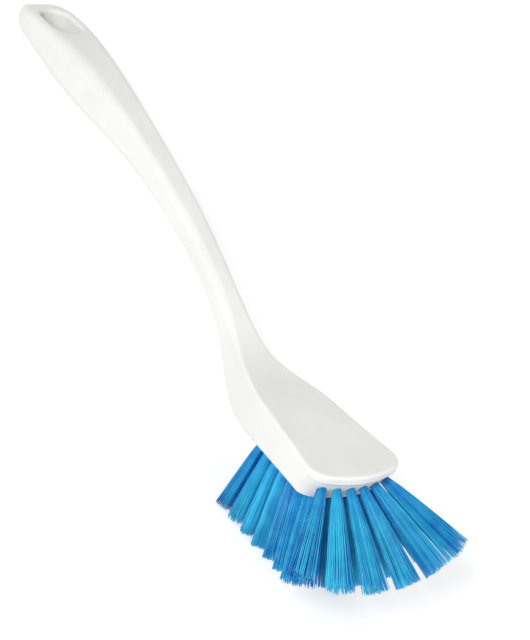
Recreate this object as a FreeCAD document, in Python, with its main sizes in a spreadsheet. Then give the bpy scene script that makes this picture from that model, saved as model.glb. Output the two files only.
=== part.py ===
"""Dish brush: one moulded handle and head, bristle tufts set in a fan, and the flat anchors that hold them.

The brush is drawn with the flat top of its head level. X runs forward along the brush and is zero at the
front corners of the head, Y runs across and is zero on the mirror plane, and Z is zero on the head's top.
At the end every piece is tipped back to the attitude in which the brush lies on a table, on the tips of its
bristles and the end of its handle, with the origin under the middle of its box.
"""
import FreeCAD, Part
import Sketcher
import math
import os

Vector = FreeCAD.Vector
Placement = FreeCAD.Placement
Rotation = FreeCAD.Rotation

# Lengths in millimetres and angles in degrees. A "rise" is a height above the head's flat top, and a "back"
# is a distance behind the head's front corners.
SIZES = {
    "overall_length": 253.0,
    # head
    "head_width": 42.5,
    "head_front_depth": 12.0,
    "head_edge_radius": 1.2,
    "head_underside_radius": 2.2,
    "front_bulge": 5.5,
    "front_corner_radius": 8.5,
    "lip_thickness": 3.0,
    "lip_overhang": 1.0,
    "lip_edge_radius": 1.0,
    "front_wall_run": 4.3,
    "shoulder_back": 43.0,
    "shoulder_width": 29.5,
    "shoulder_depth": 16.5,
    "head_length": 64.0,
    "head_rear_width": 16.5,
    "head_rear_depth": 18.5,
    "head_rear_rise": 0.5,
    # neck
    "neck_flare_length": 20.0,
    "neck_root_width": 11.0,
    "neck_root_depth": 12.5,
    "neck_root_rise": 9.3,
    "neck_edge_radius": 2.8,
    "neck_middle_back": 124.0,
    "neck_width": 10.8,
    "neck_depth": 10.8,
    "neck_rise": 26.8,
    # grip
    "grip_length": 85.0,
    "grip_start_width": 12.8,
    "grip_start_depth": 15.5,
    "grip_start_rise": 39.0,
    "grip_edge_radius": 5.0,
    "swell_from_end": 38.0,
    "grip_width": 21.8,
    "grip_depth": 17.5,
    "grip_rise": 46.6,
    # hanging loop
    "loop_from_end": 16.0,
    "loop_width": 23.5,
    "loop_depth": 12.5,
    "loop_rise": 46.2,
    "loop_edge_radius": 3.2,
    "loop_shoulder_from_end": 5.0,
    "loop_shoulder_width": 21.0,
    "loop_shoulder_depth": 8.5,
    "loop_shoulder_rise": 45.2,
    "tip_width": 13.0,
    "tip_depth": 4.0,
    "tip_rise": 43.8,
    "tip_edge_radius": 1.6,
    "slot_length": 20.5,
    "slot_width": 12.5,
    "slot_from_end": 8.0,
    "slot_rim_radius": 1.5,
    # tuft holes
    "hole_diameter": 3.0,
    "hole_depth": 6.0,
    "row_back_rear": 36.0,
    "row_back_front": -0.4,
    "row_bow": 2.4,
    "side_margin_rear": 3.4,
    "side_margin_front": 6.8,
    "lean_rear": -6.0,
    "lean_front": 60.0,
    "splay_rear": 8.0,
    "splay_front": 36.5,
    # tufts
    "tuft_clearance": 0.05,
    "tuft_collar": 2.2,
    "tuft_length_rear": 30.0,
    "tuft_length_front": 38.0,
    "tip_diameter_rear": 7.0,
    "tip_diameter_front": 10.5,
    # anchors
    "anchor_thickness": 0.4,
    "anchor_height": 1.8,
    "anchor_bite": 0.6,
    "fold_room": 1.2,
}
# Tufts in each row, from the rear row to the front row.
TUFT_COUNTS = (5, 6, 5, 6, 5, 6, 5, 6)

# Where the head's sections stand, as shares of the way from its shoulder to its front corners. The last is
# ahead of the front, which is then trimmed to its outline.
HEAD_SHARES = (0.0, 0.35, 0.7, 1.0, 1.2)
# Powers that set how lean, splay and length grow from the rear row to the front row.
LEAN_GROWTH = 1.14
SPLAY_GROWTH = 1.7
LENGTH_GROWTH = 4
# Distance below which two places count as the same.
SAME = 0.02
# How far a tuft's hole is drilled from outside the head.
HOLE_REACH = 3.0
# Steepest tip, in degrees, halvings and mesh tolerance of the search for the attitude on a table.
STEEPEST_REST = 45.0
REST_STEPS = 40
REST_TOLERANCE = 0.02
# Share of a section's width or depth that its rounded corners may take up.
CORNER_SHARE = 0.45
# How far a cutting outline reaches past the solid that it cuts.
CUT_REACH = 10.0
# How many times the head's front depth the cut of its front wall reaches down from the lip.
WALL_REACH = 2.0
# How far the end of a front corner's arc stands outside the head's side, so that the two cross.
CORNER_CROSSING = 0.15

doc = FreeCAD.newDocument("dish_brush")
sheet = doc.addObject("Spreadsheet::Sheet", "sizes")
for sheet_row, (alias, value) in enumerate(SIZES.items(), start=1):
    sheet.set(f"A{sheet_row}", alias)
    sheet.set(f"B{sheet_row}", str(value))
    sheet.setAlias(f"B{sheet_row}", alias)
doc.recompute()


def size(alias):
    """Value of one driving dimension."""
    return float(getattr(sheet, alias))


def total(*terms):
    """Sum of driving dimensions, as a number and as an expression; a term that starts with - is taken off."""
    number = 0.0
    words = []
    for term in terms:
        sign = -1.0 if term.startswith("-") else 1.0
        name = term.lstrip("-")
        number += sign * size(name)
        words.append(f"{'-' if sign < 0 else '+'} sizes.{name}")
    return number, " ".join(words) or "0"


def along_head(share):
    """Place, width and depth of the head's straight-sided front half, at a share of the way to its front.

    The share is 0 at the shoulder and 1 at the front corners.
    """
    def between(rear, front):
        number = size(rear) + share * (size(front) - size(rear))
        return number, f"sizes.{rear} + {share} * (sizes.{front} - sizes.{rear})"

    place = size("shoulder_back") * (1.0 - share), f"sizes.shoulder_back * {1.0 - share}"
    return place, between("shoulder_width", "head_width"), between("shoulder_depth", "head_front_depth")


def origin_plane(body, role):
    """One of a body's own three origin planes."""
    return next(feature for feature in body.Origin.OriginFeatures if feature.Role == role)


def new_sketch(body, name, role):
    """Empty sketch on one of the body's origin planes."""
    sketch = body.newObject("Sketcher::SketchObject", name)
    sketch.AttachmentSupport = (origin_plane(body, role), "")
    sketch.MapMode = "FlatFace"
    return sketch


def line(sketch, start, end):
    """Add a straight edge between two points of the sketch and give its index."""
    return sketch.addGeometry(Part.LineSegment(Vector(*start), Vector(*end)), False)


def arc(sketch, centre, radius, first, last):
    """Add an arc, anticlockwise from one angle to the other in degrees, and give its index."""
    circle = Part.Circle(Vector(*centre), Vector(0, 0, 1), radius)
    return sketch.addGeometry(Part.ArcOfCircle(circle, math.radians(first), math.radians(last)), False)


def bind(sketch, name, expression, *constraint):
    """Add a named dimension to a sketch and tie it to the sheet."""
    sketch.renameConstraint(sketch.addConstraint(Sketcher.Constraint(*constraint)), name)
    sketch.setExpression(f"Constraints.{name}", expression)


START, END, CENTRE = 1, 2, 3
ORIGIN, ACROSS_AXIS, UP_AXIS = -1, -1, -2


def section(body, name, place, width, rise, depth, top_radius, bottom_radius):
    """Cross-section of the moulding: a rectangle with rounded corners, across the brush at one place.

    place, width and depth are pairs of a number and its expression, where place is the distance back from
    the front corners; rise is None on the head's flat top; the others name driving dimensions.
    """
    half = width[0] / 2.0
    top = size(rise) if rise else 0.0
    bottom = top - depth[0]
    limit = CORNER_SHARE * min(width[0], depth[0])
    upper = min(size(top_radius), limit)
    lower = min(size(bottom_radius), limit)

    sketch = new_sketch(body, f"{name}_section", "YZ_Plane")
    sketch.setExpression("AttachmentOffset.Base.z", f"-({place[1]})")
    roof = line(sketch, (upper - half, top), (half - upper, top))
    upper_right = arc(sketch, (half - upper, top - upper), upper, 0, 90)
    right = line(sketch, (half, top - upper), (half, bottom + lower))
    lower_right = arc(sketch, (half - lower, bottom + lower), lower, 270, 360)
    floor = line(sketch, (half - lower, bottom), (lower - half, bottom))
    lower_left = arc(sketch, (lower - half, bottom + lower), lower, 180, 270)
    left = line(sketch, (-half, bottom + lower), (-half, top - upper))
    upper_left = arc(sketch, (upper - half, top - upper), upper, 90, 180)

    for first, first_end, second, second_end in (
        (roof, END, upper_right, END),
        (upper_right, START, right, START),
        (right, END, lower_right, END),
        (lower_right, START, floor, START),
        (floor, END, lower_left, END),
        (lower_left, START, left, START),
        (left, END, upper_left, END),
        (upper_left, START, roof, START),
    ):
        sketch.addConstraint(Sketcher.Constraint("Tangent", first, first_end, second, second_end))
    sketch.addConstraint(Sketcher.Constraint("Horizontal", floor))
    sketch.addConstraint([Sketcher.Constraint("Vertical", left), Sketcher.Constraint("Vertical", right)])
    sketch.addConstraint(Sketcher.Constraint("Equal", upper_left, upper_right))
    sketch.addConstraint(Sketcher.Constraint("Equal", lower_left, lower_right))
    sketch.addConstraint(Sketcher.Constraint("Symmetric", roof, START, roof, END, UP_AXIS))
    limit_words = f"{CORNER_SHARE} * ({width[1]}); {CORNER_SHARE} * ({depth[1]})"
    bind(sketch, "upper", f"min(sizes.{top_radius}; {limit_words})", "Radius", upper_right, upper)
    bind(sketch, "lower", f"min(sizes.{bottom_radius}; {limit_words})", "Radius", lower_right, lower)
    bind(sketch, "width", width[1], "DistanceX", left, START, right, START, 2.0 * half)
    bind(sketch, "depth", depth[1], "DistanceY", floor, START, roof, END, top - bottom)
    if rise:
        bind(sketch, "rise", f"sizes.{rise}", "DistanceY", ORIGIN, START, roof, END, top)
    else:
        sketch.addConstraint(Sketcher.Constraint("PointOnObject", roof, END, ACROSS_AXIS))
    return sketch


def through_pocket(body, sketch):
    """Cut a sketch's outline right through the body, to both sides of the sketch."""
    before = body.Shape.Volume
    pocket = body.newObject("PartDesign::Pocket", f"{sketch.Name}_cut")
    pocket.Profile = sketch
    pocket.SideType = "Symmetric"
    pocket.Type = "ThroughAll"
    doc.recompute()
    if body.Shape.Volume >= before:
        raise RuntimeError(f"{pocket.Name} cut nothing")
    return pocket


def front_radius():
    """Radius of the shallow arc in which the head's front runs across the brush."""
    half = size("head_width") / 2.0
    bulge = size("front_bulge")
    return (half * half + bulge * bulge) / (2.0 * bulge)


def front_outline(body, name, drop, inset):
    """Plan outline that trims the head's front to a shallow arc with a round corner at each end.

    Each corner touches a guide line that runs just outside the head's flared side. drop and inset are pairs
    of a number and its expression: how far the outline lies below the head's top, and how far behind the lip.
    """
    half = size("head_width") / 2.0
    shoulder_half = size("shoulder_width") / 2.0
    shoulder = size("shoulder_back")
    bulge = size("front_bulge")
    corner = size("front_corner_radius")
    radius = front_radius()
    front_centre = bulge - radius - inset[0]
    flare = (half - shoulder_half) / shoulder
    reach = math.hypot(1.0, flare)
    offset = half + CORNER_CROSSING - corner * reach
    linear = flare * offset - front_centre
    constant = front_centre ** 2 + offset ** 2 - (radius - corner) ** 2
    corner_x = (math.sqrt(linear ** 2 - reach ** 2 * constant) - linear) / reach ** 2
    corner_y = offset + flare * corner_x
    swing = math.degrees(math.atan2(corner_y, corner_x - front_centre))
    turn = 90.0 + math.degrees(math.atan(flare))
    touch_x = corner_x - corner * flare / reach
    touch_y = corner_y + corner / reach
    outer = half + CUT_REACH
    ahead = bulge + CUT_REACH

    sketch = new_sketch(body, name, "XY_Plane")
    sketch.setExpression("AttachmentOffset.Base.z", f"-({drop[1]})")
    front = arc(sketch, (front_centre, 0), radius, -swing, swing)
    far = arc(sketch, (corner_x, corner_y), corner, swing, turn)
    far_step = line(sketch, (touch_x, touch_y), (touch_x, outer))
    far_run = line(sketch, (touch_x, outer), (ahead, outer))
    closing = line(sketch, (ahead, outer), (ahead, -outer))
    near_run = line(sketch, (ahead, -outer), (touch_x, -outer))
    near_step = line(sketch, (touch_x, -outer), (touch_x, -touch_y))
    near = arc(sketch, (corner_x, -corner_y), corner, 360 - turn, 360 - swing)
    guide = line(sketch, (-shoulder, shoulder_half + CORNER_CROSSING), (0, half + CORNER_CROSSING))
    sketch.toggleConstruction(guide)

    sketch.addConstraint(Sketcher.Constraint("Tangent", front, END, far, START))
    sketch.addConstraint(Sketcher.Constraint("Tangent", near, END, front, START))
    sketch.addConstraint(Sketcher.Constraint("Tangent", far, END, guide))
    for first, first_end, second, second_end in (
        (far, END, far_step, START),
        (far_step, END, far_run, START),
        (far_run, END, closing, START),
        (closing, END, near_run, START),
        (near_run, END, near_step, START),
        (near_step, END, near, START),
    ):
        sketch.addConstraint(Sketcher.Constraint("Coincident", first, first_end, second, second_end))
    for edge in (far_step, near_step):
        sketch.addConstraint(Sketcher.Constraint("Vertical", edge))
    for edge in (far_run, near_run):
        sketch.addConstraint(Sketcher.Constraint("Horizontal", edge))
    sketch.addConstraint(Sketcher.Constraint("PointOnObject", front, CENTRE, ACROSS_AXIS))
    sketch.addConstraint(Sketcher.Constraint("PointOnObject", guide, END, UP_AXIS))
    sketch.addConstraint(Sketcher.Constraint("Symmetric", far, END, near, START, ACROSS_AXIS))
    sketch.addConstraint(Sketcher.Constraint("Symmetric", far_run, END, near_run, START, ACROSS_AXIS))
    sketch.addConstraint(Sketcher.Constraint("Equal", far, near))
    radius_words = "((sizes.head_width / 2)^2 + sizes.front_bulge^2) / (2 * sizes.front_bulge)"
    bind(sketch, "front_radius", radius_words, "Radius", front, radius)
    bind(sketch, "front_centre", f"{radius_words} - sizes.front_bulge + {inset[1]}",
         "DistanceX", front, CENTRE, ORIGIN, START, -front_centre)
    bind(sketch, "corner_radius", "sizes.front_corner_radius", "Radius", far, corner)
    bind(sketch, "guide_front", f"sizes.head_width / 2 + {CORNER_CROSSING}",
         "DistanceY", ORIGIN, START, guide, END, half + CORNER_CROSSING)
    bind(sketch, "guide_rear", f"sizes.shoulder_width / 2 + {CORNER_CROSSING}",
         "DistanceY", ORIGIN, START, guide, START, shoulder_half + CORNER_CROSSING)
    bind(sketch, "guide_length", "sizes.shoulder_back", "DistanceX", guide, START, guide, END, shoulder)
    bind(sketch, "reach_out", f"sizes.head_width / 2 + {CUT_REACH}",
         "DistanceY", ORIGIN, START, far_run, END, outer)
    bind(sketch, "reach_ahead", f"sizes.front_bulge + {CUT_REACH}",
         "DistanceX", ORIGIN, START, far_run, END, ahead)
    return sketch


def front_wall(body):
    """Cut the head's front back under its lip, in a wall that slopes further back towards the underside."""
    top = front_outline(body, "wall_top", total("lip_thickness"), total("lip_overhang"))
    depth = size("head_front_depth") - size("lip_thickness")
    run = size("front_wall_run") - size("lip_overhang")
    foot_drop = (
        size("lip_thickness") + WALL_REACH * depth,
        f"sizes.lip_thickness + {WALL_REACH} * (sizes.head_front_depth - sizes.lip_thickness)",
    )
    foot_inset = (
        size("lip_overhang") + WALL_REACH * run,
        f"sizes.lip_overhang + {WALL_REACH} * (sizes.front_wall_run - sizes.lip_overhang)",
    )
    doc.recompute()
    before = body.Shape.Volume
    wall = body.newObject("PartDesign::SubtractiveLoft", "front_wall")
    wall.Profile = top
    wall.Sections = [front_outline(body, "wall_foot", foot_drop, foot_inset)]
    wall.Ruled = True
    doc.recompute()
    if body.Shape.Volume >= before:
        raise RuntimeError("front_wall cut nothing")


def hanging_slot(body):
    """Plan outline of the hanging slot: two straight sides closed by half circles."""
    radius = size("slot_width") / 2.0
    rear = size("slot_from_end") + radius - size("overall_length")
    front = rear + size("slot_length") - 2.0 * radius
    sketch = new_sketch(body, "hanging_slot", "XY_Plane")
    far = line(sketch, (front, radius), (rear, radius))
    rear_arc = arc(sketch, (rear, 0), radius, 90, 270)
    near = line(sketch, (rear, -radius), (front, -radius))
    front_arc = arc(sketch, (front, 0), radius, 270, 450)
    for first, second in ((far, rear_arc), (rear_arc, near), (near, front_arc), (front_arc, far)):
        sketch.addConstraint(Sketcher.Constraint("Tangent", first, END, second, START))
    sketch.addConstraint(Sketcher.Constraint("Equal", rear_arc, front_arc))
    sketch.addConstraint(Sketcher.Constraint("PointOnObject", rear_arc, CENTRE, ACROSS_AXIS))
    sketch.addConstraint(Sketcher.Constraint("PointOnObject", front_arc, CENTRE, ACROSS_AXIS))
    bind(sketch, "radius", "sizes.slot_width / 2", "Radius", rear_arc, radius)
    bind(sketch, "rear", "sizes.overall_length - sizes.slot_from_end - sizes.slot_width / 2",
         "DistanceX", rear_arc, CENTRE, ORIGIN, START, -rear)
    bind(sketch, "run", "sizes.slot_length - sizes.slot_width",
         "DistanceX", rear_arc, CENTRE, front_arc, CENTRE, front - rear)
    return sketch


def moulding():
    """Handle, neck and head in one body, before its tuft holes are made."""
    body = doc.addObject("PartDesign::Body", "moulding")
    end = "overall_length"
    sections = [
        section(body, "tip", total(end), total("tip_width"), "tip_rise", total("tip_depth"),
                "tip_edge_radius", "tip_edge_radius"),
        section(body, "loop_shoulder", total(end, "-loop_shoulder_from_end"), total("loop_shoulder_width"),
                "loop_shoulder_rise", total("loop_shoulder_depth"), "loop_edge_radius", "loop_edge_radius"),
        section(body, "loop", total(end, "-loop_from_end"), total("loop_width"), "loop_rise",
                total("loop_depth"), "loop_edge_radius", "grip_edge_radius"),
        section(body, "swell", total(end, "-swell_from_end"), total("grip_width"), "grip_rise",
                total("grip_depth"), "grip_edge_radius", "grip_edge_radius"),
        section(body, "grip_start", total(end, "-grip_length"), total("grip_start_width"), "grip_start_rise",
                total("grip_start_depth"), "neck_edge_radius", "grip_edge_radius"),
        section(body, "neck_middle", total("neck_middle_back"), total("neck_width"), "neck_rise",
                total("neck_depth"), "neck_edge_radius", "neck_edge_radius"),
        section(body, "neck_root", total("head_length", "neck_flare_length"), total("neck_root_width"),
                "neck_root_rise", total("neck_root_depth"), "neck_edge_radius", "neck_edge_radius"),
        section(body, "head_rear", total("head_length"), total("head_rear_width"), "head_rear_rise",
                total("head_rear_depth"), "head_edge_radius", "head_underside_radius"),
    ]
    for number, share in enumerate(HEAD_SHARES, start=1):
        place, width, depth = along_head(share)
        sections.append(section(body, f"head_{number}", place, width, None, depth,
                                "head_edge_radius", "head_underside_radius"))
    doc.recompute()
    loft = body.newObject("PartDesign::AdditiveLoft", "moulding_loft")
    loft.Profile = sections[0]
    loft.Sections = sections[1:]
    doc.recompute()
    through_pocket(body, front_outline(body, "lip_outline", total(), total()))
    front_wall(body)
    through_pocket(body, hanging_slot(body))
    return body


def edges_at(shape, test):
    """Names of the edges whose middle point passes a test."""
    names = []
    for index, edge in enumerate(shape.Edges, start=1):
        middle = edge.valueAt((edge.FirstParameter + edge.LastParameter) / 2.0)
        if test(edge, middle):
            names.append(f"Edge{index}")
    return names


def round_edges(body, name, radius, test):
    """Round the edges of the body that pass a test."""
    base = body.Tip
    fillet = body.newObject("PartDesign::Fillet", name)
    fillet.Base = (base, edges_at(base.Shape, test))
    fillet.setExpression("Radius", f"sizes.{radius}")
    doc.recompute()


def upright(edge):
    """True for an edge that runs straight up and down."""
    return abs(edge.tangentAt(edge.FirstParameter).z) > 1.0 - SAME


def on_slot_rim(edge, middle):
    """True for the edges where the hanging slot meets the top and the underside of the loop."""
    radius = size("slot_width") / 2.0
    rear = size("slot_from_end") + radius - size("overall_length")
    front = rear + size("slot_length") - 2.0 * radius
    nearest = min(max(middle.x, rear), front)
    on_wall = abs(math.hypot(middle.x - nearest, middle.y) - radius) < SAME
    return on_wall and not upright(edge)


def on_handle_tip(edge, middle):
    """True for the edges round the flat end of the handle."""
    return abs(middle.x + size("overall_length")) < SAME


def on_lip_top(edge, middle):
    """True for the edges where the lip's front meets the head's top."""
    return middle.x > 0.0 and middle.z > -size("lip_thickness") / 2.0 and not upright(edge)


def between_rows(quantity, share):
    """A quantity that changes evenly from the rear row, where the share is 0, to the front row, at 1."""
    rear = size(f"{quantity}_rear")
    return rear + share * (size(f"{quantity}_front") - rear)


def between_words(quantity, share):
    """Expression of a quantity that changes evenly from the rear row to the front row."""
    return f"sizes.{quantity}_rear + {share} * (sizes.{quantity}_front - sizes.{quantity}_rear)"


def tuft_layout():
    """Row, number in the row, share of the way to the front row, and seat of every tuft.

    A seat is the placement of a tuft's own frame: its origin is at the mouth of the hole, Z runs up into the
    head and the bristles run down. The tufts lean further forward row by row and splay further outwards
    towards the head's sides, and the rows bow more and more with the head's front.
    """
    radius = front_radius()
    depth_below_lip = size("head_front_depth") - size("lip_thickness")
    fall = depth_below_lip / (size("front_wall_run") - size("lip_overhang"))
    layout = []
    for row, count in enumerate(TUFT_COUNTS, start=1):
        share = (row - 1) / (len(TUFT_COUNTS) - 1)
        back = between_rows("row_back", share)
        width = along_head(1.0 - back / size("shoulder_back"))[1][0]
        half = width / 2.0 - between_rows("side_margin", share)
        lean = Rotation(Vector(0, 1, 0), -between_rows("lean", share ** LEAN_GROWTH))
        for number in range(1, count + 1):
            across = 2.0 * (number - 1) / (count - 1) - 1.0
            x = share * size("row_bow") * (1.0 - across * across) - back
            y = across * half
            depth = along_head(1.0 + x / size("shoulder_back"))[2][0]
            wall_top = size("front_bulge") - size("lip_overhang") - radius + math.sqrt(radius ** 2 - y ** 2)
            wall_z = -size("lip_thickness") - fall * (wall_top - x)
            mouth = Vector(x, y, max(-depth, wall_z))
            splay = Rotation(Vector(1, 0, 0), across * between_rows("splay", share ** SPLAY_GROWTH))
            layout.append((row, number, share, Placement(mouth, lean * splay)))
    return layout


def group(name, solids):
    """Separate solids that share one node."""
    compound = doc.addObject("Part::Compound", name)
    compound.Links = solids
    compound.Label = name
    return compound


def cut(name, base, tool):
    """One solid with another taken out of it."""
    result = doc.addObject("Part::Cut", name)
    result.Base = base
    result.Tool = tool
    result.Label = name
    return result


def on_seat(kind, name, seat, offset, **expressions):
    """Solid of a tuft's hole, root, bristles or anchor, placed in the tuft's own frame."""
    solid = doc.addObject(kind, name)
    for quantity, expression in expressions.items():
        solid.setExpression(quantity, expression)
    solid.Placement = seat * Placement(offset, Rotation())
    return solid


def drill(name, seat):
    """Hole for one tuft, reaching out past the underside of the head."""
    return on_seat("Part::Cylinder", f"{name}_hole", seat, Vector(0, 0, -HOLE_REACH),
                   Radius="sizes.hole_diameter / 2", Height=f"sizes.hole_depth + {HOLE_REACH}")


def anchor(name, seat):
    """Flat strip across the foot of a hole, whose two ends bite into the hole's wall."""
    width = size("hole_diameter") + 2.0 * size("anchor_bite")
    foot = size("hole_depth") - size("fold_room") - size("anchor_height")
    corner = Vector(-size("anchor_thickness") / 2.0, -width / 2.0, foot)
    return on_seat("Part::Box", f"{name}_anchor", seat, corner, Length="sizes.anchor_thickness",
                   Width="sizes.hole_diameter + 2 * sizes.anchor_bite", Height="sizes.anchor_height")


def tuft(name, seat, share, strip):
    """Bundle of bristles: a root that fills its hole, folded over the anchor, and a flared free length."""
    reach = share ** LENGTH_GROWTH
    root_words = "sizes.hole_diameter / 2 - sizes.tuft_clearance"
    root = on_seat("Part::Cylinder", f"{name}_root", seat, Vector(0, 0, -size("tuft_collar")),
                   Radius=root_words, Height="sizes.hole_depth - sizes.tuft_clearance + sizes.tuft_collar")
    tips = Vector(0, 0, -between_rows("tuft_length", reach))
    bristles = on_seat("Part::Cone", f"{name}_bristles", seat, tips,
                       Radius1=f"({between_words('tip_diameter', reach)}) / 2", Radius2=root_words,
                       Height=f"{between_words('tuft_length', reach)} - sizes.tuft_collar")
    bundle = doc.addObject("Part::Fuse", f"{name}_bundle")
    bundle.Base = root
    bundle.Tool = bristles
    return cut(name, bundle, strip)


def lying_on_table(handle, tufts):
    """Placement that tips the brush back until bristle tips and handle end touch the table together."""
    def points(shapes):
        return [point for shape in shapes for point in shape.tessellate(REST_TOLERANCE)[0]]

    handle_points = points([handle.Shape])
    tuft_points = points([piece.Shape for piece in tufts])

    def lowest(cloud, angle):
        sine, cosine = math.sin(angle), math.cos(angle)
        return min(point.x * sine + point.z * cosine for point in cloud)

    level, steep = 0.0, math.radians(STEEPEST_REST)
    for _ in range(REST_STEPS):
        middle = (level + steep) / 2.0
        if lowest(handle_points, middle) > lowest(tuft_points, middle):
            level = middle
        else:
            steep = middle
    tipped = Placement(Vector(), Rotation(Vector(0, 1, 0), -math.degrees(steep)))
    box = FreeCAD.BoundBox()
    for piece in [handle] + tufts:
        shape = piece.Shape.copy()
        shape.Placement = tipped.multiply(shape.Placement)
        box.add(shape.optimalBoundingBox())
    return Placement(Vector(-box.Center.x, -box.Center.y, -box.ZMin), Rotation()).multiply(tipped)


def build():
    """Make every piece, check it and write it."""
    body = moulding()
    round_edges(body, "slot_rim", "slot_rim_radius", on_slot_rim)
    round_edges(body, "handle_tip", "tip_edge_radius", on_handle_tip)
    round_edges(body, "lip_top_round", "lip_edge_radius", on_lip_top)

    holes, tufts = [], []
    strips = {row: [] for row in range(1, len(TUFT_COUNTS) + 1)}
    for row, number, share, seat in tuft_layout():
        name = f"tuft_row_{row}_{number}"
        holes.append(drill(name, seat))
        strips[row].append(anchor(name, seat))
        tufts.append(tuft(name, seat, share, strips[row][-1]))
    anchors = [group(f"anchors_row_{row}", solids) for row, solids in strips.items()]
    drilled = cut("drilled_moulding", body, group("tuft_holes", holes))
    handle = cut("handle_and_head", drilled, group("anchor_seats", sum(strips.values(), [])))
    doc.recompute()

    rest = lying_on_table(handle, tufts)
    pieces = [handle] + tufts + anchors
    for piece in pieces:
        piece.Placement = rest.multiply(piece.Placement)
    doc.recompute()
    failed = [item.Name for item in doc.Objects if {"Invalid", "Error"} & set(item.State)]
    failed += [piece.Label for piece in pieces if piece.Shape.isNull() or not piece.Shape.isValid()]
    if failed:
        raise RuntimeError(f"not built: {failed}")

    os.makedirs("parts", exist_ok=True)
    for piece in pieces:
        piece.Shape.exportStep(f"parts/{piece.Label}.step")
    print("lies at", rest)
    print(len(pieces), "nodes,", sum(len(piece.Shape.Solids) for piece in pieces), "solids")


build()
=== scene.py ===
"""Looks of a dish brush: satin white moulding, blue bristle tufts and hidden steel anchors, on white."""
import logging
import math
from dataclasses import dataclass, field
from enum import Enum

import bpy
import numpy as np
from mathutils import Matrix, Vector


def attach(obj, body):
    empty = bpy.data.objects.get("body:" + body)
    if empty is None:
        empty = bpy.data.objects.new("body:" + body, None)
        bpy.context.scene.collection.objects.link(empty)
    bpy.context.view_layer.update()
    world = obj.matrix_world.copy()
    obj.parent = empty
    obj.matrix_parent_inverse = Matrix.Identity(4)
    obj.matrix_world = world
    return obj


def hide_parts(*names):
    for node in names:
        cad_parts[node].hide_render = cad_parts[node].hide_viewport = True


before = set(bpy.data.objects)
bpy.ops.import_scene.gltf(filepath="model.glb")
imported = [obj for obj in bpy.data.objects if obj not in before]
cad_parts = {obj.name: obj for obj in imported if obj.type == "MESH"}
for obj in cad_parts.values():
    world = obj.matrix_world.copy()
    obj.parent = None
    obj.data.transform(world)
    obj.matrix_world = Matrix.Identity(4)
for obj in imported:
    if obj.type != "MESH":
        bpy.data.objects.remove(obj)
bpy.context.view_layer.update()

BODY = "root"
GOLDEN_ANGLE = math.pi * (3.0 - math.sqrt(5.0))
VERTEX_DECIMALS = 7
END_SLICE = 0.02
log = logging.getLogger("dish_brush")

Colour = tuple[float, float, float]
Point = tuple[float, float, float]
Range = tuple[float, float]
FULL: Range = (0.0, 1.0)
Sockets = dict[str, bpy.types.NodeSocket]


class Slot(Enum):
    """Material slots of the record."""

    MOULDING = "moulding"
    BRISTLE = "bristle"
    ANCHOR = "anchor"


class NodeBench:
    """A node tree with short ways to add, set and join its nodes."""

    def __init__(self, tree: bpy.types.NodeTree) -> None:
        """Starts from an empty tree."""
        self.tree = tree
        self.tree.nodes.clear()

    def add(self, kind: str, inputs: dict[str, object] | None = None, **settings: object) -> bpy.types.Node:
        """Adds one node.

        Args:
            kind: Blender's type name of the node.
            inputs: Socket values, or the sockets that feed them, by socket name.
            **settings: Properties of the node itself.

        Returns:
            The new node.
        """
        node = self.tree.nodes.new(kind)
        for name, value in settings.items():
            setattr(node, name, value)
        for name, value in (inputs or {}).items():
            self.feed(node.inputs[name], value)
        return node

    def feed(self, socket: bpy.types.NodeSocket, value: object) -> None:
        """Joins a socket to another one, or sets its value.

        Args:
            socket: The input that is fed.
            value: An output socket, a number or a colour.
        """
        if isinstance(value, bpy.types.NodeSocket):
            self.tree.links.new(value, socket)
        elif socket.type == "RGBA":
            socket.default_value = (*value, 1.0)
        else:
            socket.default_value = value

    def maths(self, operation: str, first: object, second: object) -> bpy.types.NodeSocket:
        """Adds a Math node.

        Args:
            operation: Name of the operation.
            first: First value or socket.
            second: Second value or socket.

        Returns:
            The socket with the result.
        """
        node = self.tree.nodes.new("ShaderNodeMath")
        node.operation = operation
        self.feed(node.inputs[0], first)
        self.feed(node.inputs[1], second)
        return node.outputs["Value"]

    def between(self, share: bpy.types.NodeSocket, low: Colour, high: Colour) -> bpy.types.NodeSocket:
        """Mixes two colours.

        Args:
            share: Socket from 0 for the low colour to 1 for the high one.
            low: Colour at 0.
            high: Colour at 1.

        Returns:
            The socket with the mixed colour.
        """
        node = self.tree.nodes.new("ShaderNodeMix")
        node.data_type = "RGBA"
        self.feed(node.inputs[0], share)
        self.feed(node.inputs[6], low)
        self.feed(node.inputs[7], high)
        return node.outputs[2]

    def spread(self, value: bpy.types.NodeSocket, source: Range, target: Range) -> bpy.types.NodeSocket:
        """Carries a value from one range into another, held at both ends.

        Args:
            value: Socket with the value.
            source: Range that it has.
            target: Range that it gets.

        Returns:
            The socket with the new value.
        """
        node = self.add("ShaderNodeMapRange", {
            "Value": value, "From Min": source[0], "From Max": source[1],
            "To Min": target[0], "To Max": target[1],
        })
        return node.outputs["Result"]

    def seen(self) -> bpy.types.NodeSocket:
        """Returns a socket that is 1 where the camera looks, also by gloss or through glass, and else 0."""
        path = self.add("ShaderNodeLightPath")
        plain = self.maths("MAXIMUM", path.outputs["Is Camera Ray"], path.outputs["Is Glossy Ray"])
        return self.maths("MAXIMUM", plain, path.outputs["Is Transmission Ray"])


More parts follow.
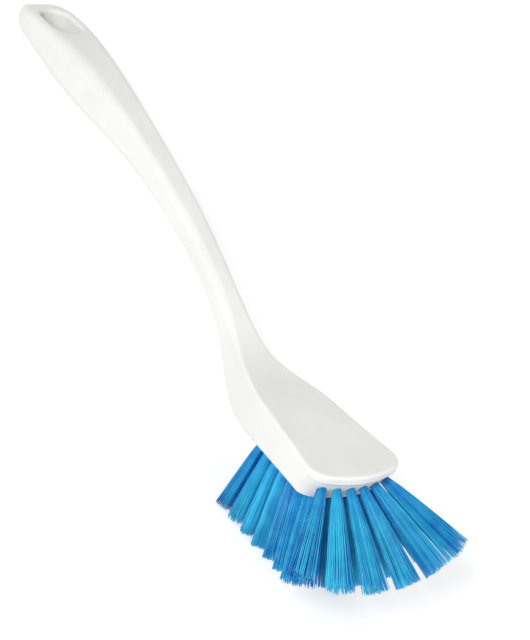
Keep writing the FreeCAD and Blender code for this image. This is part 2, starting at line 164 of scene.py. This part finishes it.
@dataclass(frozen=True)
class Effect:
    """A pattern that several finishes share, kept as a shader node group."""

    name: str

    def group(self) -> bpy.types.NodeTree:
        """Returns the node group, which is built on first use."""
        known = bpy.data.node_groups.get(self.name)
        return known if known else self.build()

    def build(self) -> bpy.types.NodeTree:
        """Builds the node group in a subclass."""
        raise NotImplementedError

    def start(self, inputs: dict[str, float], outputs: list[str]) -> tuple[NodeBench, Sockets, Sockets]:
        """Makes an empty group with its sockets.

        Args:
            inputs: Default values of the inputs, by name.
            outputs: Names of the outputs.

        Returns:
            The bench, the input sockets and the output sockets by name.
        """
        tree = bpy.data.node_groups.new(self.name, "ShaderNodeTree")
        tree.interface.new_socket("Place", in_out="INPUT", socket_type="NodeSocketVector")
        for name, value in inputs.items():
            socket = tree.interface.new_socket(name, in_out="INPUT", socket_type="NodeSocketFloat")
            socket.default_value = value
        for name in outputs:
            tree.interface.new_socket(name, in_out="OUTPUT", socket_type="NodeSocketFloat")
        bench = NodeBench(tree)
        sources = {socket.name: socket for socket in bench.add("NodeGroupInput").outputs}
        targets = {socket.name: socket for socket in bench.add("NodeGroupOutput").inputs}
        return bench, sources, targets

    def place(self, bench: NodeBench, where: bpy.types.NodeSocket, **values: float) -> bpy.types.Node:
        """Puts the group into a material.

        Args:
            bench: Bench of the material.
            where: Socket with the coordinates.
            **values: Input values, with underscores for the spaces in their names.

        Returns:
            The group node.
        """
        node = bench.tree.nodes.new("ShaderNodeGroup")
        node.node_tree = self.group()
        bench.feed(node.inputs["Place"], where)
        for name, value in values.items():
            bench.feed(node.inputs[name.replace("_", " ")], value)
        return node


@dataclass(frozen=True)
class Mottle(Effect):
    """Cloudy change of tone with a fine grain, as moulded plastic has."""

    name: str = "mottle"
    cloud_detail: float = 4.0
    cloud_roughness: float = 0.6
    cloud_range: Range = (0.3, 0.7)
    grain_detail: float = 2.0

    def build(self) -> bpy.types.NodeTree:
        """Builds two noises: a broad one for the tone and a fine one for the grain.

        Returns:
            The node group.
        """
        bench, source, target = self.start({"Cloud Scale": 30.0, "Grain Scale": 1500.0}, ["Tone", "Grain"])
        cloud = bench.add("ShaderNodeTexNoise", {
            "Vector": source["Place"], "Scale": source["Cloud Scale"],
            "Detail": self.cloud_detail, "Roughness": self.cloud_roughness,
        })
        grain = bench.add("ShaderNodeTexNoise", {
            "Vector": source["Place"], "Scale": source["Grain Scale"], "Detail": self.grain_detail,
        })
        bench.feed(target["Tone"], bench.spread(cloud.outputs["Fac"], self.cloud_range, FULL))
        bench.feed(target["Grain"], grain.outputs["Fac"])
        return bench.tree


@dataclass(frozen=True)
class Scuffs(Effect):
    """Fine lines along the brush, as rubbing leaves on plastic and rolling on metal."""

    name: str = "scuffs"
    stretch: Point = (0.04, 1.0, 1.0)
    detail: float = 3.0
    roughness: float = 0.7
    threshold: float = 0.9
    fade: float = 0.15

    def build(self) -> bpy.types.NodeTree:
        """Builds a noise that is drawn out along X and cut off below a threshold, lower for a greater cover.

        Returns:
            The node group.
        """
        bench, source, target = self.start({"Fineness": 900.0, "Cover": 0.35}, ["Lines"])
        drawn_out = bench.add("ShaderNodeMapping", {"Vector": source["Place"], "Scale": self.stretch})
        noise = bench.add("ShaderNodeTexNoise", {
            "Vector": drawn_out.outputs["Vector"], "Scale": source["Fineness"],
            "Detail": self.detail, "Roughness": self.roughness,
        })
        cut = bench.maths("SUBTRACT", self.threshold, source["Cover"])
        above = bench.maths("SUBTRACT", noise.outputs["Fac"], cut)
        bench.feed(target["Lines"], bench.spread(above, (0.0, self.fade), FULL))
        return bench.tree


def fresh_material(name: str) -> tuple[bpy.types.Material, NodeBench]:
    """Makes a material with an empty node tree.

    Args:
        name: Name of the material.

    Returns:
        The material and the bench of its tree.
    """
    material = bpy.data.materials.new(name)
    material.use_nodes = True
    return material, NodeBench(material.node_tree)


@dataclass(frozen=True)
class MouldingFinish:
    """Satin white polypropylene with a faint grain, cloudy tone and lengthwise scuffs."""

    shade: Colour = (0.80, 0.80, 0.765)
    bright: Colour = (0.86, 0.86, 0.835)
    satin: float = 0.36
    dull: float = 0.50
    reflection: float = 0.4
    cloud_scale: float = 38.0
    cloud_dullness: float = 0.5
    grain_scale: float = 1700.0
    grain_height: float = 0.00006
    grain_strength: float = 0.35
    scuff_fineness: float = 800.0
    scuff_cover: float = 0.3
    scuff_wear: float = 0.45
    glow_depth: float = 0.0015
    glow_weight: float = 0.12
    glow_colour: Colour = (1.0, 1.0, 0.9)

    def material(self) -> bpy.types.Material:
        """Returns the finish as a material on Object coordinates."""
        material, bench = fresh_material("satin_white_moulding")
        where = bench.add("ShaderNodeTexCoord").outputs["Object"]
        mottle = Mottle().place(bench, where, Cloud_Scale=self.cloud_scale, Grain_Scale=self.grain_scale)
        scuffs = Scuffs().place(bench, where, Fineness=self.scuff_fineness, Cover=self.scuff_cover)
        worn = bench.maths("MULTIPLY", scuffs.outputs["Lines"], self.scuff_wear)
        tone = bench.spread(bench.maths("SUBTRACT", mottle.outputs["Tone"], worn), FULL, FULL)
        cloudy = bench.maths("MULTIPLY", mottle.outputs["Tone"], self.cloud_dullness)
        rough = bench.maths("ADD", cloudy, worn)
        bump = bench.add("ShaderNodeBump", {
            "Height": mottle.outputs["Grain"],
            "Strength": self.grain_strength,
            "Distance": self.grain_height,
        })
        shader = bench.add("ShaderNodeBsdfPrincipled", {
            "Base Color": bench.between(tone, self.shade, self.bright),
            "Roughness": bench.spread(rough, FULL, (self.satin, self.dull)),
            "Normal": bump.outputs["Normal"],
            "Specular IOR Level": self.reflection,
            "Subsurface Weight": self.glow_weight,
            "Subsurface Radius": self.glow_colour,
            "Subsurface Scale": self.glow_depth,
        })
        bench.add("ShaderNodeOutputMaterial", {"Surface": shader.outputs["BSDF"]})
        return material


@dataclass(frozen=True)
class BristleFinish:
    """Glossy blue filaments whose tone changes from strand to strand, with painted shade that darkens each
    one towards its root, under the head.
    """

    deep: Colour = (0.0, 0.11, 0.50)
    light: Colour = (0.07, 0.76, 1.0)
    tone_range: Range = (0.2, 1.0)
    cloud_scale: float = 160.0
    cloud_weight: float = 0.2
    grain_scale: float = 2500.0
    # Painted shade near the roots: the colour share at the root, and the height share over which that
    # darkening fades out.
    painted_root_shade: float = 0.5
    painted_shade_length: float = 0.35
    reflection: float = 0.2
    gloss: float = 0.22
    dull: float = 0.36

    def material(self) -> bpy.types.Material:
        """Returns the finish as a material on the filaments' own attributes."""
        material, bench = fresh_material("glossy_blue_bristle")
        where = bench.add("ShaderNodeTexCoord").outputs["Object"]
        tone = bench.add("ShaderNodeAttribute", attribute_name="tone").outputs["Fac"]
        along = bench.add("ShaderNodeAttribute", attribute_name="along").outputs["Fac"]
        mottle = Mottle().place(bench, where, Cloud_Scale=self.cloud_scale, Grain_Scale=self.grain_scale)
        cloudy = bench.maths("MULTIPLY", mottle.outputs["Tone"], self.cloud_weight)
        share = bench.spread(bench.maths("ADD", tone, cloudy), self.tone_range, FULL)
        # Painted shade: each filament is pushed towards the deep colour near its root, where the head and
        # the other tufts shade it, on top of its random tone.
        painted_shade_by_height = bench.spread(along, (0.0, self.painted_shade_length), (self.painted_root_shade, 1.0))
        tone_with_painted_shade = bench.maths("MULTIPLY", share, painted_shade_by_height)
        shader = bench.add("ShaderNodeBsdfPrincipled", {
            "Base Color": bench.between(tone_with_painted_shade, self.deep, self.light),
            "Roughness": bench.spread(share, FULL, (self.gloss, self.dull)),
            "Specular IOR Level": self.reflection,
        })
        bench.add("ShaderNodeOutputMaterial", {"Surface": shader.outputs["BSDF"]})
        return material


@dataclass(frozen=True)
class AnchorFinish:
    """Rolled steel strip with lines along it."""

    shade: Colour = (0.42, 0.42, 0.41)
    bright: Colour = (0.66, 0.65, 0.62)
    gloss: float = 0.28
    dull: float = 0.45
    cloud_scale: float = 400.0
    grain_scale: float = 6000.0
    line_fineness: float = 4000.0
    line_cover: float = 0.45

    def material(self) -> bpy.types.Material:
        """Returns the finish as a material on Object coordinates."""
        material, bench = fresh_material("rolled_steel_anchor")
        where = bench.add("ShaderNodeTexCoord").outputs["Object"]
        mottle = Mottle().place(bench, where, Cloud_Scale=self.cloud_scale, Grain_Scale=self.grain_scale)
        scuffs = Scuffs().place(bench, where, Fineness=self.line_fineness, Cover=self.line_cover)
        lines = scuffs.outputs["Lines"]
        tone = bench.maths("MULTIPLY", mottle.outputs["Tone"], lines)
        shader = bench.add("ShaderNodeBsdfPrincipled", {
            "Base Color": bench.between(tone, self.bright, self.shade),
            "Roughness": bench.spread(lines, FULL, (self.gloss, self.dull)),
            "Metallic": 1.0,
        })
        bench.add("ShaderNodeOutputMaterial", {"Surface": shader.outputs["BSDF"]})
        return material


@dataclass(frozen=True)
class FloorFinish:
    """Plain white paper that the camera sees as white and that still takes the shadow."""

    paper: Colour = (0.88, 0.88, 0.88)
    lift: float = 0.34

    def material(self) -> bpy.types.Material:
        """Returns the finish, with a little glow for what the camera and its reflections see."""
        material, bench = fresh_material("white_paper_floor")
        shader = bench.add("ShaderNodeBsdfPrincipled", {
            "Base Color": self.paper,
            "Roughness": 1.0,
            "Specular IOR Level": 0.0,
            "Emission Color": (1.0, 1.0, 1.0),
            "Emission Strength": bench.maths("MULTIPLY", bench.seen(), self.lift),
        })
        bench.add("ShaderNodeOutputMaterial", {"Surface": shader.outputs["BSDF"]})
        return material


def linked_object(name: str, mesh: bpy.types.Mesh, material: bpy.types.Material) -> bpy.types.Object:
    """Puts a mesh into the scene at the origin.

    Args:
        name: Name of the piece.
        mesh: Its mesh, with the place in its vertices.
        material: Its finish.

    Returns:
        The new object.
    """
    piece = bpy.data.objects.new(name, mesh)
    mesh.materials.append(material)
    bpy.context.scene.collection.objects.link(piece)
    return piece


@dataclass
class HandleAndHead:
    """The one-piece moulding, which keeps its CAD node and takes a better finish."""

    node: str = "handle_and_head"
    finish: MouldingFinish = field(default_factory=MouldingFinish)

    def dress(self) -> bpy.types.Object:
        """Gives the CAD node its finish and returns it."""
        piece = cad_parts[self.node]
        piece.material_slots[0].material = self.finish.material()
        return piece


@dataclass
class Anchors:
    """The flat metal anchors hidden in the head, one node for each row."""

    prefix: str = "anchors_row_"
    finish: AnchorFinish = field(default_factory=AnchorFinish)

    def dress(self) -> list[bpy.types.Object]:
        """Gives each row's CAD node its finish and returns the nodes."""
        material = self.finish.material()
        rows = [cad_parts[name] for name in sorted(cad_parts) if name.startswith(self.prefix)]
        for piece in rows:
            piece.material_slots[0].material = material
        return rows


@dataclass(frozen=True)
class TuftSeat:
    """Where a tuft leaves its hole, the way it points and how wide it gets.

    The first of its two cross directions is level.
    """

    mouth: np.ndarray
    way: np.ndarray
    across: np.ndarray
    length: float
    root_radius: float
    tip_radius: float

    @classmethod
    def of_node(cls, node: bpy.types.Object, seat_depth: float) -> "TuftSeat":
        """Reads the seat from the tuft's CAD solid, which is round about its axis.

        The axis is the direction in which the solid's vertices spread most, turned towards the wide end. The
        radius at an end is the largest distance from the axis in a thin slice there.

        Args:
            node: The tuft's CAD node.
            seat_depth: How far the tuft reaches into the head.

        Returns:
            The seat, in metres.
        """
        points = np.empty(3 * len(node.data.vertices))
        node.data.vertices.foreach_get("co", points)
        points = np.unique(points.reshape(-1, 3).round(VERTEX_DECIMALS), axis=0)
        centre = points.mean(axis=0)
        way = np.linalg.svd(points - centre, full_matrices=False)[2][0]
        height = (points - centre) @ way
        radius = np.linalg.norm(points - centre - np.outer(height, way), axis=1)
        full_length = np.ptp(height)
        slice_depth = full_length * END_SLICE
        first_radius = radius[height < height.min() + slice_depth].max()
        last_radius = radius[height > height.max() - slice_depth].max()
        if first_radius > last_radius:
            way, height = -way, -height
            first_radius, last_radius = last_radius, first_radius
        level = np.cross(way, (0.0, 0.0, 1.0))
        level /= np.linalg.norm(level)
        across = np.stack([level, np.cross(way, level)])
        mouth = centre + way * (height.min() + seat_depth)
        return cls(mouth, way, across, full_length - seat_depth, first_radius, last_radius)


@dataclass
class BristleTufts:
    """All the tufts, each a bundle of filaments that leaves its hole tight and opens towards the tips."""

    prefix: str = "tuft_row_"
    seat_depth: float = 0.00595
    hidden_length: float = 0.002
    filament_count: int = 130
    filament_radius: float = 0.00018
    sides: int = 6
    rings: int = 6
    clump_count: int = 9
    clump_pull: float = 0.15
    flare: float = 0.48
    front_flare: float = 0.36
    front_bias: float = 6.0
    level_spread: float = 0.14
    inward_spread: float = 0.45
    sway: float = 0.0003
    length_scatter: float = 0.0006
    tip_rounding: float = 0.7
    tuft_tone: float = 0.3
    clump_tone: float = 0.45
    filament_tone: float = 0.25
    seed: int = 20
    finish: BristleFinish = field(default_factory=BristleFinish)

    def build(self) -> list[bpy.types.Object]:
        """Builds one piece for each tuft node.

        Returns:
            The pieces, in the order of their rows.
        """
        material = self.finish.material()
        chance = np.random.default_rng(self.seed)
        made = []
        for name in sorted(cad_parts):
            if name.startswith(self.prefix):
                seat = TuftSeat.of_node(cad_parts[name], self.seat_depth)
                made.append(self.bundle(name, seat, material, chance))
        return made

    def bundle(self, node: str, seat: TuftSeat, material: bpy.types.Material,
               chance: np.random.Generator) -> bpy.types.Object:
        """Builds one tuft and lets it stand for its CAD node.

        Args:
            node: Name of the CAD node.
            seat: Its place and size.
            material: The filaments' finish.
            chance: Source of the scatter.

        Returns:
            The new piece.
        """
        centres, tone, along = self.filaments(seat, chance)
        mesh = self.tubes(node.replace("tuft", "bristles"), centres, seat, tone, along)
        piece = linked_object(mesh.name, mesh, material)
        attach(piece, BODY)
        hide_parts(node)
        return piece

    def filaments(self, seat: TuftSeat,
                  chance: np.random.Generator) -> tuple[np.ndarray, np.ndarray, np.ndarray]:
        """Works out the filaments' centre lines.

        Roots lie on a sunflower spiral. A filament stands at its own share of the bundle's radius, which
        grows from the hole's radius to the tip's as the height to the power of the flare. It leans towards
        the middle of its clump near the tip, and sways sideways with the square of the height. The flare is
        greater, so that the bundle opens later, the more the tuft points straight ahead. Tips spread a
        little more in the level direction, where use presses them apart, than up and down, and most on the
        side towards the brush's middle, in proportion to the tuft's sideways lean.

        Args:
            seat: Place and size of the tuft.
            chance: Source of the scatter.

        Returns:
            Centre points by filament and ring, tone by filament, and height share by ring.
        """
        number = np.arange(self.filament_count)
        share = np.sqrt((number + 0.5) / self.filament_count)
        turn = number * GOLDEN_ANGLE + chance.uniform(0.0, math.tau)
        own = share[:, None] * np.stack([np.cos(turn), np.sin(turn)], axis=1)
        clump_middle = own[chance.choice(self.filament_count, self.clump_count, replace=False)]
        clump = np.linalg.norm(own[:, None] - clump_middle[None], axis=2).argmin(axis=1)
        pulled = own + self.clump_pull * (clump_middle[clump] - own)

        along = np.linspace(0.0, 1.0, self.rings)
        short = np.abs(chance.normal(0.0, self.length_scatter, self.filament_count))
        reach = seat.length + self.hidden_length - short
        height = along[None] * reach[:, None] - self.hidden_length
        opened = np.clip(height / seat.length, 0.0, 1.0)
        root = seat.root_radius - self.filament_radius
        tip = seat.tip_radius - self.filament_radius - self.sway
        flare = self.flare + self.front_flare * max(seat.way[0], 0.0) ** self.front_bias
        radius = root + (tip - root) * opened ** flare
        place = own[:, None] + (pulled - own)[:, None] * (opened ** 2)[:, :, None]
        heading = chance.uniform(0.0, math.tau, self.filament_count)
        amount = self.sway * chance.uniform(0.0, 1.0, self.filament_count)
        bend = amount[:, None, None] * (opened ** 2)[:, :, None]
        bend = bend * np.stack([np.cos(heading), np.sin(heading)], axis=1)[:, None]
        flat = place * radius[:, :, None] + bend
        inward = flat[:, :, 0] * seat.way[1] > 0.0
        spread = self.level_spread + self.inward_spread * abs(seat.way[1]) * inward
        flat[:, :, 0] *= 1.0 + spread * opened ** 2
        centres = seat.mouth + height[:, :, None] * seat.way + flat @ seat.across

        tone = self.clump_tone * chance.uniform(0.0, 1.0, self.clump_count)[clump]
        tone += self.tuft_tone * chance.uniform()
        tone += self.filament_tone * chance.uniform(0.0, 1.0, self.filament_count)
        return centres, tone, along

    def tubes(self, name: str, centres: np.ndarray, seat: TuftSeat, tone: np.ndarray,
              along: np.ndarray) -> bpy.types.Mesh:
        """Carries a round profile along each centre line and closes both ends.

        A vertex is its ring's centre plus the ring's radius times cos(a) and sin(a) along the tuft's two
        cross directions, with a in equal steps round the ring. The last ring is narrower, as a cut tip is.

        Args:
            name: Name of the mesh.
            centres: Centre points by filament and ring.
            seat: Place and size of the tuft.
            tone: Tone by filament.
            along: Height share by ring.

        Returns:
            The mesh, with the attributes tone and along.
        """
        count, rings, sides = len(centres), self.rings, self.sides
        angle = np.arange(sides) * math.tau / sides
        ring = np.stack([np.cos(angle), np.sin(angle)], axis=1) @ seat.across
        radius = np.full(rings, self.filament_radius)
        radius[-1] *= self.tip_rounding
        points = centres[:, :, None] + radius[None, :, None, None] * ring[None, None]

        index = np.arange(count * rings * sides).reshape(count, rings, sides)
        low, high = index[:, :-1], index[:, 1:]
        walls = np.stack([low, np.roll(low, -1, axis=2), np.roll(high, -1, axis=2), high], axis=-1)
        walls = walls.reshape(-1, 4)
        caps = np.concatenate([index[:, 0, ::-1], index[:, -1]])

        mesh = bpy.data.meshes.new(name)
        mesh.vertices.add(points.size // 3)
        mesh.vertices.foreach_set("co", points.ravel())
        mesh.loops.add(walls.size + caps.size)
        mesh.loops.foreach_set("vertex_index", np.concatenate([walls.ravel(), caps.ravel()]))
        mesh.polygons.add(len(walls) + len(caps))
        starts = np.concatenate([np.arange(len(walls)) * 4, walls.size + np.arange(len(caps)) * sides])
        mesh.polygons.foreach_set("loop_start", starts)
        mesh.update(calc_edges=True)
        mesh.polygons.foreach_set("use_smooth", np.arange(len(walls) + len(caps)) < len(walls))
        full = (count, rings, sides)
        for label, values in (("tone", tone[:, None, None]), ("along", along[None, :, None])):
            attribute = mesh.attributes.new(label, "FLOAT", "POINT")
            spread_out = np.broadcast_to(values, full).astype(np.float32)
            attribute.data.foreach_set("value", spread_out.ravel())
        return mesh


@dataclass(frozen=True)
class SoftLamp:
    """A square soft box that points at the brush."""

    name: str
    place: Point
    width: float
    power: float

    def build(self, target: Point) -> bpy.types.Object:
        """Builds the lamp.

        Args:
            target: Point that it is aimed at.

        Returns:
            The lamp's object.
        """
        light = bpy.data.lights.new(self.name, "AREA")
        light.shape = "SQUARE"
        light.size = self.width
        light.energy = self.power
        lamp = bpy.data.objects.new(self.name, light)
        lamp.location = self.place
        lamp.rotation_euler = (Vector(target) - Vector(self.place)).to_track_quat("-Z", "Y").to_euler()
        bpy.context.scene.collection.objects.link(lamp)
        return lamp


@dataclass
class Studio:
    """Pale floor, soft light and the camera, which looks down at the brush and is rolled."""

    eye: Point = (0.3737, -0.5516, 0.6454)
    aim: Point = (0.0341, 0.0, 0.0465)
    up: Point = (-0.8332, 0.0811, 0.5471)
    lens: float = 135.7
    sensor: float = 36.0
    floor_width: float = 8.0
    sky_colour: Colour = (1.0, 1.0, 1.0)
    sky_strength: float = 0.41
    lamps: tuple[SoftLamp, ...] = (
        SoftLamp("key_lamp", (0.2, -1.05, 0.92), 0.45, 12.6),
        SoftLamp("top_lamp", (-0.55, 0.3, 1.35), 0.5, 2.4),
        SoftLamp("front_lamp", (1.0, 0.5, 0.45), 0.35, 4.0),
    )
    finish: FloorFinish = field(default_factory=FloorFinish)

    def build(self) -> None:
        """Builds the floor, lamps, sky and camera."""
        self.floor()
        for lamp in self.lamps:
            lamp.build(self.aim)
        self.sky()
        self.camera()
        bpy.context.scene.view_settings.view_transform = "Standard"

    def floor(self) -> bpy.types.Object:
        """Builds the floor, a flat square at the height on which the brush lies, and returns it."""
        half = self.floor_width / 2
        corners = [(-half, -half, 0.0), (half, -half, 0.0), (half, half, 0.0), (-half, half, 0.0)]
        mesh = bpy.data.meshes.new("floor")
        mesh.from_pydata(corners, [], [(0, 1, 2, 3)])
        floor = linked_object("floor", mesh, self.finish.material())
        return floor

    def sky(self) -> None:
        """Gives the world an even soft light, which the camera itself sees as white."""
        world = bpy.data.worlds.new("soft_sky")
        world.use_nodes = True
        bench = NodeBench(world.node_tree)
        strength = bench.spread(bench.seen(), FULL, (self.sky_strength, 1.0))
        light = bench.add("ShaderNodeBackground", {"Color": self.sky_colour, "Strength": strength})
        bench.add("ShaderNodeOutputWorld", {"Surface": light.outputs["Background"]})
        bpy.context.scene.world = world

    def camera(self) -> bpy.types.Object:
        """Builds the camera from its eye, aim and upward direction, and returns it."""
        lens = bpy.data.cameras.new("camera")
        lens.sensor_width = self.sensor
        lens.lens = self.lens
        camera = bpy.data.objects.new("camera", lens)
        back = (Vector(self.eye) - Vector(self.aim)).normalized()
        right = Vector(self.up).cross(back).normalized()
        turn = Matrix((right, back.cross(right), back)).transposed()
        camera.matrix_world = Matrix.Translation(self.eye) @ turn.to_4x4()
        bpy.context.scene.collection.objects.link(camera)
        bpy.context.scene.camera = camera
        return camera


def main() -> None:
    """Builds the looks in order."""
    logging.basicConfig(level=logging.INFO, format="%(name)s: %(message)s")
    Studio().build()
    log.info("dressed %s", HandleAndHead().dress().name)
    for piece in Anchors().dress():
        log.info("dressed %s", piece.name)
    for piece in BristleTufts().build():
        log.info("built %s with %d faces", piece.name, len(piece.data.polygons))


if __name__ == "__main__":
    main()
